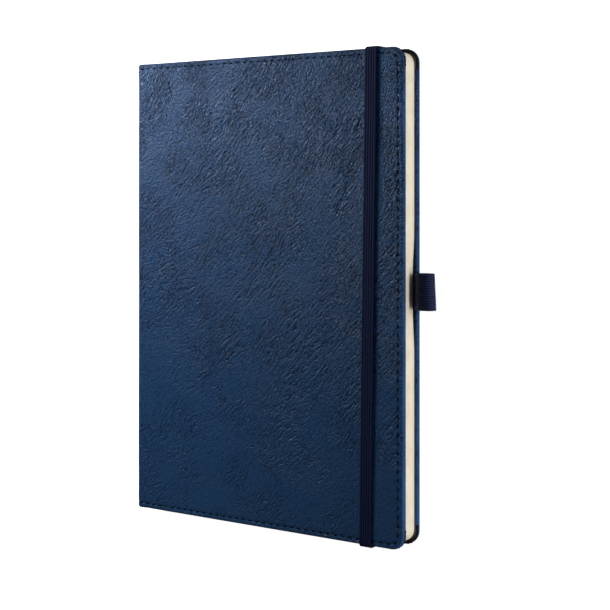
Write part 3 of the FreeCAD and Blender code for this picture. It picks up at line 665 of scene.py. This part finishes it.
def seam_route(side):
    """The seam's line from the spine at the head, round the fore-edge, to the spine at the tail."""
    y = HEAD - SEAM_INSET
    radius = CORNER_RADIUS - SEAM_INSET
    x = FORE_EDGE - SEAM_INSET
    bend = np.linspace(0.15, math.pi / 2, 8)
    deep = seam_floor(SPINE, y, SEAM_INSET)
    reach = JOINT_RADIUS - deep
    bend_x = SPINE + JOINT_RADIUS - reach * np.cos(bend)
    bend_depth = JOINT_RADIUS - reach * np.sin(bend)
    straight_x = spread(SPINE + JOINT_RADIUS, x - radius, 0.5 * MM)[1:]
    straight_depth = seam_floor(straight_x, y, SEAM_INSET)
    turn = np.linspace(math.pi / 2, 0, 12)[1:]
    turn_x = x - radius + radius * np.cos(turn)
    turn_y = y - radius + radius * np.sin(turn)
    down_y = spread(y - radius, 0, 0.5 * MM)[1:]
    half_x = np.concatenate([bend_x, straight_x, turn_x, np.full(len(down_y), x)])
    half_y = np.concatenate([np.full(len(bend_x) + len(straight_x), y), turn_y, down_y])
    turn_depth = seam_floor(turn_x, turn_y, SEAM_INSET)
    down_depth = seam_floor(x, down_y, SEAM_INSET)
    half_depth = np.concatenate([bend_depth, straight_depth, turn_depth, down_depth])
    head_half = side.points(half_x, half_y, half_depth)
    tail_half = side.points(half_x, -half_y, half_depth)[::-1][1:]
    return np.concatenate([head_half, tail_half])


def make_cover_stitches(side):
    piece = made_by_nodes(f"{side.name}_edge_stitches", seam_route(side), STITCHES)
    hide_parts(f"{side.name}_seam_thread")
    return side.bend(piece)


def make_spine_stitches():
    """The two short runs across the spine."""
    runs = []
    for end in (1, -1):
        y = end * (HEAD - SEAM_INSET)
        x = SPINE + seam_floor(SPINE, y, SEAM_INSET)
        z = spread(SPINE_LOW + 0.6 * MM, SPINE_HIGH - 0.6 * MM, 0.5 * MM)
        route = np.stack(np.broadcast_arrays(x, y, z), axis=-1)
        runs.append(made_by_nodes(f"spine_edge_stitches_{'head' if end > 0 else 'tail'}", route, STITCHES))
    for number, run in enumerate(runs):
        if number == 0:
            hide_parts("spine_seam_thread")
        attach(run, "book_block")
    return runs


# ---- the gathered corners ---------------------------------------------------------------------------------------

GATHER_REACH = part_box("back_corner_gathers")[1].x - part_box("back_corner_gathers")[0].x
GATHER_START = 1.75 * MM
PLEATS = 9
PLEAT_HEIGHT = 0.16 * MM


def make_gathers(side, end):
    """One gathered corner: pleats that fan round the corner from its wall onto the inside of the cover."""
    straight = GATHER_REACH - CORNER_RADIUS
    arc = CORNER_RADIUS * math.pi / 2
    total = arc + 2 * straight
    along = np.linspace(0, total, 150)
    turn = np.clip((along - straight) / arc, 0, 1) * math.pi / 2
    before = np.clip(straight - along, 0, None)
    after = np.clip(along - straight - arc, 0, None)
    outward = np.stack([np.sin(turn), np.cos(turn)], axis=1)
    centre_x, centre_y = FORE_EDGE - CORNER_RADIUS, HEAD - CORNER_RADIUS
    phase = along / total * PLEATS * 2 * math.pi
    jitter = 0.5 * np.sin(along / (1.7 * MM)) + 0.3 * np.sin(along / (0.9 * MM) + 1.0)
    fold = np.abs(np.sin(phase / 2 + jitter))
    amount = smoothstep(0, 1.0 * MM, along) * smoothstep(0, 1.0 * MM, total - along)
    lift = 0.06 * MM
    bend = LIP_ROUNDING + lift
    profile = [(-0.25 * MM, GATHER_START - 0.03 * MM, 0.0), (0.5 * lift, GATHER_START, 0.3)]
    wall = spread(GATHER_START + 0.2 * MM, LIP_DEPTH - LIP_ROUNDING, 0.35 * MM)
    profile += [(lift, depth, 1.0) for depth in wall]
    for angle in np.radians([22, 45, 67, 90]):
        inset = bend * math.cos(angle) - LIP_ROUNDING
        profile.append((inset, LIP_DEPTH - LIP_ROUNDING + bend * math.sin(angle), 1.0))
    profile += [
        (-1.2 * MM, LIP_DEPTH + lift, 0.8),
        (-2.6 * MM, LIP_DEPTH + lift, 0.4),
        (-4.6 * MM, LIP_DEPTH + 0.03 * MM, 0.1),
        (-4.8 * MM, LIP_DEPTH - 0.2 * MM, 0.0),
    ]
    outer = []
    for inset, depth, share in profile:
        on_wall = smoothstep(LIP_DEPTH, LIP_DEPTH - LIP_ROUNDING, depth)
        ripple = fold * PLEAT_HEIGHT * share * amount
        reach = CORNER_RADIUS + inset + ripple * on_wall
        x = centre_x + outward[:, 0] * reach - before
        y = centre_y + outward[:, 1] * reach - after
        outer.append(side.points(x, end * y, depth + 0.5 * ripple * (1 - on_wall)))
    outer = np.stack(outer, axis=0)
    middle = side.points(centre_x - 1 * MM, end * (centre_y - 1 * MM), 2.0 * MM)
    inner = outer + (middle - outer) * 0.045
    piece = closed_panel(f"{side.name}_corner_gathers_{'head' if end > 0 else 'tail'}", outer, inner, GATHERED,
                         flip=side.is_back == (end > 0))
    if end > 0:
        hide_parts(f"{side.name}_corner_gathers")
    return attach(piece, side.body)


# ---- paper ------------------------------------------------------------------------------------------------------


def leaf_columns():
    inner = spread(BLOCK_LOW.x, 30 * MM, 14 * MM)[:-1]
    outer = np.array([30, 38, 44, 49, 53, 56, 59, 62, 65]) * MM
    near = BLOCK_HIGH.x - edge_steps(PAGE_CORNER_RADIUS / MM, 4.4, 3.4, 2.5, 1.7, 1.0, 0.5, 0.15, 0)
    return np.concatenate([inner, outer, near])


def leaf_rows():
    near = edge_steps(0, 0.15, 0.5, 1.0, 1.7, 2.5, 3.4, 4.4, PAGE_CORNER_RADIUS / MM)
    end = BLOCK_HIGH.y - near[-1]
    middle = spread(-end, end, 3.4 * MM)[1:-1]
    return np.concatenate([near - BLOCK_HIGH.y, middle, (BLOCK_HIGH.y - near)[::-1]])


LOOP_MIDDLE_Y = (LOOP_LOW.y + LOOP_HIGH.y) / 2


def lifted(x, y, z):
    """The height of a leaf's point, raised and squeezed where the pen loop's tab lies under the block."""
    share = np.clip((z - BLOCK_LOW.z) / (BLOCK_HIGH.z - BLOCK_LOW.z), 0, 1)
    along = smoothstep(27 * MM, 8.2 * MM, np.abs(y - LOOP_MIDDLE_Y))
    across = smoothstep(38 * MM, 59 * MM, x)
    over_tab = (LOOP_TAB_HIGH.z + 0.08 * MM - BLOCK_LOW.z) * (1 - share) ** 1.15 * along * across
    band_across = smoothstep(9 * MM, 3.4 * MM, np.abs(x - (TAB_LOW.x + TAB_HIGH.x) / 2))
    band_along = smoothstep(24 * MM, 15.5 * MM, HEAD - np.abs(y))
    over_band = (TAB_HIGH.z + 0.08 * MM - BLOCK_LOW.z) * (1 - share) ** 1.3 * band_across * band_along
    return z + np.maximum(over_tab, over_band)


def leaf_points(low, high, inset):
    """The upper and lower grids of one leaf or thin stack between two heights."""
    rows, columns = leaf_rows()[:, None], leaf_columns()[None, :]
    x, y, _ = round_corners(*np.broadcast_arrays(columns, rows), BLOCK_HIGH.x, BLOCK_HIGH.y, PAGE_CORNER_RADIUS)
    x = x - inset * smoothstep(20 * MM, BLOCK_HIGH.x, x)
    y = y * (1 - inset * 0.4 / BLOCK_HIGH.y)
    upper = np.stack([x, y, lifted(x, y, high)], axis=-1)
    lower = np.stack([x, y, lifted(x, y, low)], axis=-1)
    return upper, lower


def make_leaves(name, node, body, count, material, random):
    """A stack of separate leaves in the space of one solid, each trimmed a hair differently."""
    low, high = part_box(node)[0].z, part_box(node)[1].z
    if count > 1:
        low = high - (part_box("section_02")[1].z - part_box("section_02")[0].z)
    pitch = (high - low) / count
    points, faces = [], []
    for number in range(count):
        inset = random.uniform(0.0, 0.11) * MM
        bottom = low + pitch * number
        upper, lower = leaf_points(bottom, bottom + pitch * PAPER_SHARE, inset)
        faces += shell_faces(*upper.shape[:2], first=len(points)).tolist()
        points += upper.reshape(-1, 3).tolist() + lower.reshape(-1, 3).tolist()
    piece = new_mesh(name, points, faces, material)
    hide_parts(node)
    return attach(piece, body)


def make_text_block():
    random = np.random.default_rng(1903)
    pieces = [make_leaves("front_flyleaf_sheet", "front_flyleaf", "front_leaves", 1, ENDPAPER, random)]
    for number in range(1, 9):
        node = f"section_{number:02d}"
        body = "front_leaves" if number == 1 else "book_block"
        pieces.append(make_leaves(f"leaves_of_{node}", node, body, LEAVES_IN_SECTION, PAGES, random))
    pieces.append(make_leaves("back_flyleaf_sheet", "back_flyleaf", "book_block", 1, ENDPAPER, random))
    return pieces


def make_pastedown(side):
    """The endpaper leaf glued inside a cover. The turn-ins and the glued straps show through it as soft steps."""
    edge_x, edge_y = FORE_EDGE - PASTEDOWN_EDGE, HEAD - PASTEDOWN_EDGE
    steps = edge_steps(0, 0.1, 0.6, 1.5, 3.0)
    rows = np.concatenate([steps - edge_y, spread(3 * MM - edge_y, edge_y - 3 * MM, 1.5 * MM)[1:-1],
                           (edge_y - steps)[::-1]])[:, None]
    columns = np.concatenate([spread(BOARD_START, edge_x - 3 * MM, 1.5 * MM)[:-1], (edge_x - steps)[::-1]])[None, :]
    x, y, _ = round_corners(*np.broadcast_arrays(columns, rows), edge_x, edge_y, 3 * MM)
    inward = np.minimum(FORE_EDGE - x, HEAD - np.abs(y))
    step = smoothstep(TURN_IN - 1.2 * MM, TURN_IN + 1.4 * MM, inward)
    depth = PASTEDOWN_DEPTH - (LIP_DEPTH - BOARD_FACE_DEPTH) * step * 0.9
    under = depth - 0.16 * MM
    if side.is_back:
        strap = smoothstep(10.1 * MM, 7.9 * MM, np.abs(y - LOOP_MIDDLE_Y))
        strap = strap * smoothstep(-1.5 * MM, 0, x - LOOP_TAB_LOW.x)
        band_x = (TAB_LOW.x + TAB_HIGH.x) / 2
        band = smoothstep(4.4 * MM, 3.0 * MM, np.abs(x - band_x)) * smoothstep(17.5 * MM, 16 * MM, HEAD - np.abs(y))
        lift = np.maximum(strap * (LOOP_TAB_HIGH.z - LIP_DEPTH), band * (TAB_HIGH.z - LIP_DEPTH)) * 0.98
        depth, under = depth + lift, under + lift
    outer = side.points(x, y, under)
    inner = side.points(x, y, depth)
    piece = closed_panel(f"{side.name}_pastedown_sheet", outer, inner, ENDPAPER, flip=side.is_back)
    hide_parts(f"{side.name}_pastedown")
    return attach(piece, side.body)


def make_endpaper_fold(side):
    """The endpaper's strip across the inside of the joint, between the pastedown and the block."""
    rows = spread(-(HEAD - PASTEDOWN_EDGE), HEAD - PASTEDOWN_EDGE, 6 * MM)[:, None]
    columns = spread(BLOCK_LOW.x, BOARD_START + 0.05 * MM, 0.3 * MM)[None, :]
    x, y = np.broadcast_arrays(columns, rows)
    outer = side.points(x, y, LIP_DEPTH + 0.02 * MM + 0 * x)
    inner = side.points(x, y, PASTEDOWN_DEPTH - 0.01 * MM + 0 * x)
    piece = closed_panel(f"{side.name}_endpaper_fold", outer, inner, ENDPAPER, flip=side.is_back)
    level = side.z(LIP_DEPTH)
    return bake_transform(piece)


# ---- the elastic closure band -----------------------------------------------------------------------------------


def ribbed_section(width, thickness, ribs, rib_height, points_per_rib=6):
    """A flat strap's ribbed cross-section, in order round it, and how near each of its points is to a ridge."""
    count = ribs * points_per_rib
    across = np.linspace(-0.5, 0.5, count + 1)
    ridge = np.abs(np.sin(np.linspace(0, math.pi * ribs, count + 1))) ** 0.7
    shoulder = np.clip((0.5 - np.abs(across)) * width / (0.35 * thickness), 0, 1)
    half = thickness / 2 * np.sqrt(1 - (1 - shoulder) ** 2 * 0.85)
    top = half - rib_height * (1 - ridge)
    upper = np.stack([across * width, top], axis=1)
    lower = np.stack([across[::-1] * width, -top[::-1]], axis=1)
    return np.concatenate([upper, lower]), np.concatenate([ridge, ridge[::-1]])


def mark_ridges(piece, ridge, stations):
    """Stores how near each point of a swept strap is to a ridge, for its material."""
    marks = piece.data.attributes.new("ridge", "FLOAT", "POINT")
    marks.data.foreach_set("value", np.tile(ridge, stations).astype(np.float32))


def rounded_route(corners, step):
    """Points along straight runs joined by arcs. Each corner is (first place, second place, radius)."""
    points = []
    last = len(corners) - 1
    for number, (a, b, radius) in enumerate(corners):
        here = np.array([a, b], float)
        if number in (0, last) or radius == 0:
            points.append(here)
            continue
        before = np.array(corners[number - 1][:2], float) - here
        after = np.array(corners[number + 1][:2], float) - here
        u, v = before / np.linalg.norm(before), after / np.linalg.norm(after)
        half_angle = math.acos(np.clip(u @ v, -1, 1)) / 2
        cut = radius / math.tan(half_angle)
        centre = here + (u + v) / np.linalg.norm(u + v) * radius / math.sin(half_angle)
        start, end = here + u * cut - centre, here + v * cut - centre
        sweep_angle = math.pi - 2 * half_angle
        turn = math.copysign(1, start[0] * end[1] - start[1] * end[0])
        for share in np.linspace(0, 1, 9):
            angle = turn * sweep_angle * share
            c, s = math.cos(angle), math.sin(angle)
            points.append(centre + np.array([start[0] * c - start[1] * s, start[0] * s + start[1] * c]))
    filled = [points[0]]
    for there in points[1:]:
        gap = np.linalg.norm(there - filled[-1])
        parts = max(1, int(round(gap / step)))
        start = filled[-1]
        filled += [start + (there - start) * k / parts for k in range(1, parts + 1)]
    return np.array(filled)


def make_closure_band():
    """The band, from one glued end under the back endpaper, over the book, to the other end."""
    thickness = BAND_HIGH.z - FRONT_FACE - 0.1 * MM
    low = TAB_LOW.z + thickness / 2
    high = BAND_HIGH.z - thickness / 2
    outer = BAND_HIGH.y - thickness / 2
    inner = HEAD - 15.5 * MM
    turn = 1.1 * MM
    route = rounded_route(
        [(inner, low, 0), (outer, low, turn), (outer, high, turn * 1.3), (-outer, high, turn * 1.3),
         (-outer, low, turn), (-inner, low, 0)], 2.2 * MM)
    tangent = np.gradient(route, axis=0)
    tangent /= np.linalg.norm(tangent, axis=1)[:, None]
    normal = np.stack([tangent[:, 1], -tangent[:, 0]], axis=1)
    middle_x = (BAND_LOW.x + BAND_HIGH.x) / 2
    width = BAND_HIGH.x - BAND_LOW.x
    section, ridge = ribbed_section(width, thickness, 5, 0.2 * MM, 8)
    rings = []
    for (y, z), (ny, nz) in zip(route, normal):
        lean = BAND_LEAN / 2 * y / HEAD
        x = middle_x + lean + section[:, 0]
        rings.append(np.stack([x, y - ny * section[:, 1], z - nz * section[:, 1]], axis=1))
    piece = sweep("elastic_closure_band", np.array(rings), BAND_ELASTIC)
    mark_ridges(piece, ridge, len(rings))
    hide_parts("closure_band", "closure_band_tabs")
    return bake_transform(piece)


# ---- the pen loop -----------------------------------------------------------------------------------------------


def loop_outline(steps):
    """The loop's middle line in X and Z: out along the lower layer, round, and back along the upper layer."""
    strap = (LOOP_TAB_HIGH.z - LOOP_TAB_LOW.z) / 2
    low = LOOP_TAB_LOW.z + strap / 2
    high = LOOP_TAB_HIGH.z - strap / 2
    middle = (LOOP_LOW.z + LOOP_HIGH.z) / 2
    radius = (LOOP_HIGH.z - LOOP_LOW.z - strap) / 2
    far = LOOP_HIGH.x - strap / 2 - radius
    near = FORE_EDGE + 3.2 * MM
    bottom = [(LOOP_TAB_LOW.x, low, 0), (FORE_EDGE - 0.2 * MM, low, 0.8 * MM), (near, middle - radius, 2.2 * MM)]
    round_end = [(far + radius, middle - radius, radius * 0.98), (far + radius, middle + radius, radius * 0.98)]
    top = [(near, middle + radius, 2.2 * MM), (FORE_EDGE - 0.2 * MM, high, 0.8 * MM), (LOOP_TAB_LOW.x, high, 0)]
    return rounded_route(bottom + round_end + top, steps), strap


def make_pen_loop():
    """The pen loop and its two glued layers, one ribbed strap folded round on itself."""
    route, strap = loop_outline(0.55 * MM)
    tangent = np.gradient(route, axis=0)
    tangent /= np.linalg.norm(tangent, axis=1)[:, None]
    normal = np.stack([-tangent[:, 1], tangent[:, 0]], axis=1)
    width = LOOP_HIGH.y - LOOP_LOW.y
    section, ridge = ribbed_section(width, strap * 0.96, 15, 0.2 * MM)
    rings = []
    for (x, z), (nx, nz) in zip(route, normal):
        out = np.clip((x - FORE_EDGE) / (LOOP_HIGH.x - FORE_EDGE), 0, 1)
        y = LOOP_MIDDLE_Y + section[:, 0]
        skew = -0.9 * MM * out * section[:, 0] / width
        rings.append(np.stack([x + nx * section[:, 1] + skew, y, z + nz * section[:, 1]], axis=1))
    piece = sweep("elastic_pen_loop", np.array(rings), LOOP_ELASTIC, flip=True)
    mark_ridges(piece, ridge, len(rings))
    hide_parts("pen_loop", "pen_loop_tab")
    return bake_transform(piece)


# ---- head and tail bands ----------------------------------------------------------------------------------------


def make_end_band(node):
    """A woven end band: a small roll with a stitch-wrapped rib every 0.7 mm."""
    low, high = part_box(node)
    z = spread(low.z, high.z, 0.07 * MM)
    rib = 0.5 + 0.5 * np.cos(z / (0.7 * MM) * 2 * math.pi)
    turn = np.linspace(0, 2 * math.pi, 17)[:-1]
    half_x, half_y = (high.x - low.x) / 2, (high.y - low.y) / 2
    size = (0.86 + 0.14 * rib)[:, None]
    x = (low.x + high.x) / 2 + half_x * size * np.cos(turn)[None, :]
    y = (low.y + high.y) / 2 + half_y * size * np.sin(turn)[None, :]
    rings = np.stack(np.broadcast_arrays(x, y, z[:, None]), axis=-1)
    piece = sweep(f"woven_{node}", rings, BAND_TAPE)
    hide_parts(node)
    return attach(piece, "book_block")


# ---- the whole book ---------------------------------------------------------------------------------------------


def finish_solids():
    """Gives the solids that stay in view, or that show when the book is opened, their materials."""
    finishes = {
        "spine_board": GREYBOARD,
        "front_board": GREYBOARD,
        "back_board": GREYBOARD,
        "spine_lining": GAUZE,
        "sewing_thread": SEWING,
    }
    for name, material in finishes.items():
        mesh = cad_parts[name].data
        mesh.materials.clear()
        mesh.materials.append(material)


def make_book():
    for side in (FRONT, BACK):
        make_cover_skin(side)
        make_cover_stitches(side)
        make_pastedown(side)
        make_endpaper_fold(side)
        for end in (1, -1):
            make_gathers(side, end)
    make_spine_skin()
    make_spine_stitches()
    make_text_block()
    make_closure_band()
    make_pen_loop()
    for node in ("head_band", "tail_band"):
        make_end_band(node)
    finish_solids()


# ---- floor, light and camera ------------------------------------------------------------------------------------


def make_floor():
    """A wide sheet of white studio paper, lit evenly enough to glow."""
    material, _, shader = new_material("white_studio_paper", Roughness=0.9, Specular_IOR_Level=0.0)
    shader.inputs["Base Color"].default_value = linear("#ffffff")
    shader.inputs["Emission Color"].default_value = linear("#ffffff")
    shader.inputs["Emission Strength"].default_value = FLOOR_GLOW
    corners = [(x * FLOOR_REACH, y * FLOOR_REACH, FLOOR_LEVEL) for x, y in ((-1, -1), (1, -1), (1, 1), (-1, 1))]
    floor = new_mesh("floor", corners, [[0, 1, 2, 3]], material)
    floor.visible_glossy = False


def add_area_light(name, place, target, size, watts, colour="#ffffff", glossy=True, diffuse=True):
    """A softbox. Without glossy it isn't mirrored in a surface, and without diffuse it is only mirrored."""
    data = bpy.data.lights.new(name, "AREA")
    data.shape = "RECTANGLE"
    data.size, data.size_y = size
    data.energy = watts
    data.color = linear(colour)[:3]
    light = bpy.data.objects.new(name, data)
    light.location = place
    light.rotation_euler = (Vector(target) - Vector(place)).to_track_quat("-Z", "Y").to_euler()
    light.visible_glossy = glossy
    light.visible_diffuse = diffuse
    bpy.context.scene.collection.objects.link(light)


def make_lights():
    world = bpy.data.worlds.new("studio")
    world.use_nodes = True
    background = world.node_tree.nodes["Background"]
    background.inputs["Color"].default_value = (1, 1, 1, 1)
    background.inputs["Strength"].default_value = 0.05
    bpy.context.scene.world = world
    bpy.context.scene.view_settings.view_transform = "Standard"
    add_area_light("key_upper_left", (-0.24, 0.14, 0.2), (-0.03, 0.04, 0), (0.1, 0.1), 0.97, glossy=False)
    add_area_light(
        "sheen_upper_left", (-0.25, 0.17, 0.14), (-0.06, 0.09, 0.01), (0.1, 0.1), 0.63, "#dbe8ff", diffuse=False
    )
    add_area_light("low_right", (0.8, -0.05, 0.05), (0.07, 0, 0.01), (0.5, 0.1), 3.9, glossy=False)


CAMERA_PLACE = (360.3 * MM, 43.4 * MM, 509.1 * MM)
CAMERA_YAW = math.radians(34.23)
CAMERA_LENS = 79.87
CAMERA_SHIFT = -0.1793


def make_camera():
    """The camera stands to the right of the cover and keeps the book's long edges upright in its picture."""
    data = bpy.data.cameras.new("camera")
    data.lens = CAMERA_LENS
    data.sensor_width = 36.0
    data.shift_y = CAMERA_SHIFT
    data.clip_start = 0.01
    forward = Vector((-math.sin(CAMERA_YAW), 0, -math.cos(CAMERA_YAW)))
    right = Vector((math.cos(CAMERA_YAW), 0, -math.sin(CAMERA_YAW)))
    turn = Matrix((right, right.cross(forward), -forward)).transposed().to_4x4()
    camera = bpy.data.objects.new("camera", data)
    camera.matrix_world = Matrix.Translation(Vector(CAMERA_PLACE)) @ turn
    bpy.context.scene.collection.objects.link(camera)
    bpy.context.scene.camera = camera


make_camera()
make_floor()
make_lights()
make_book()
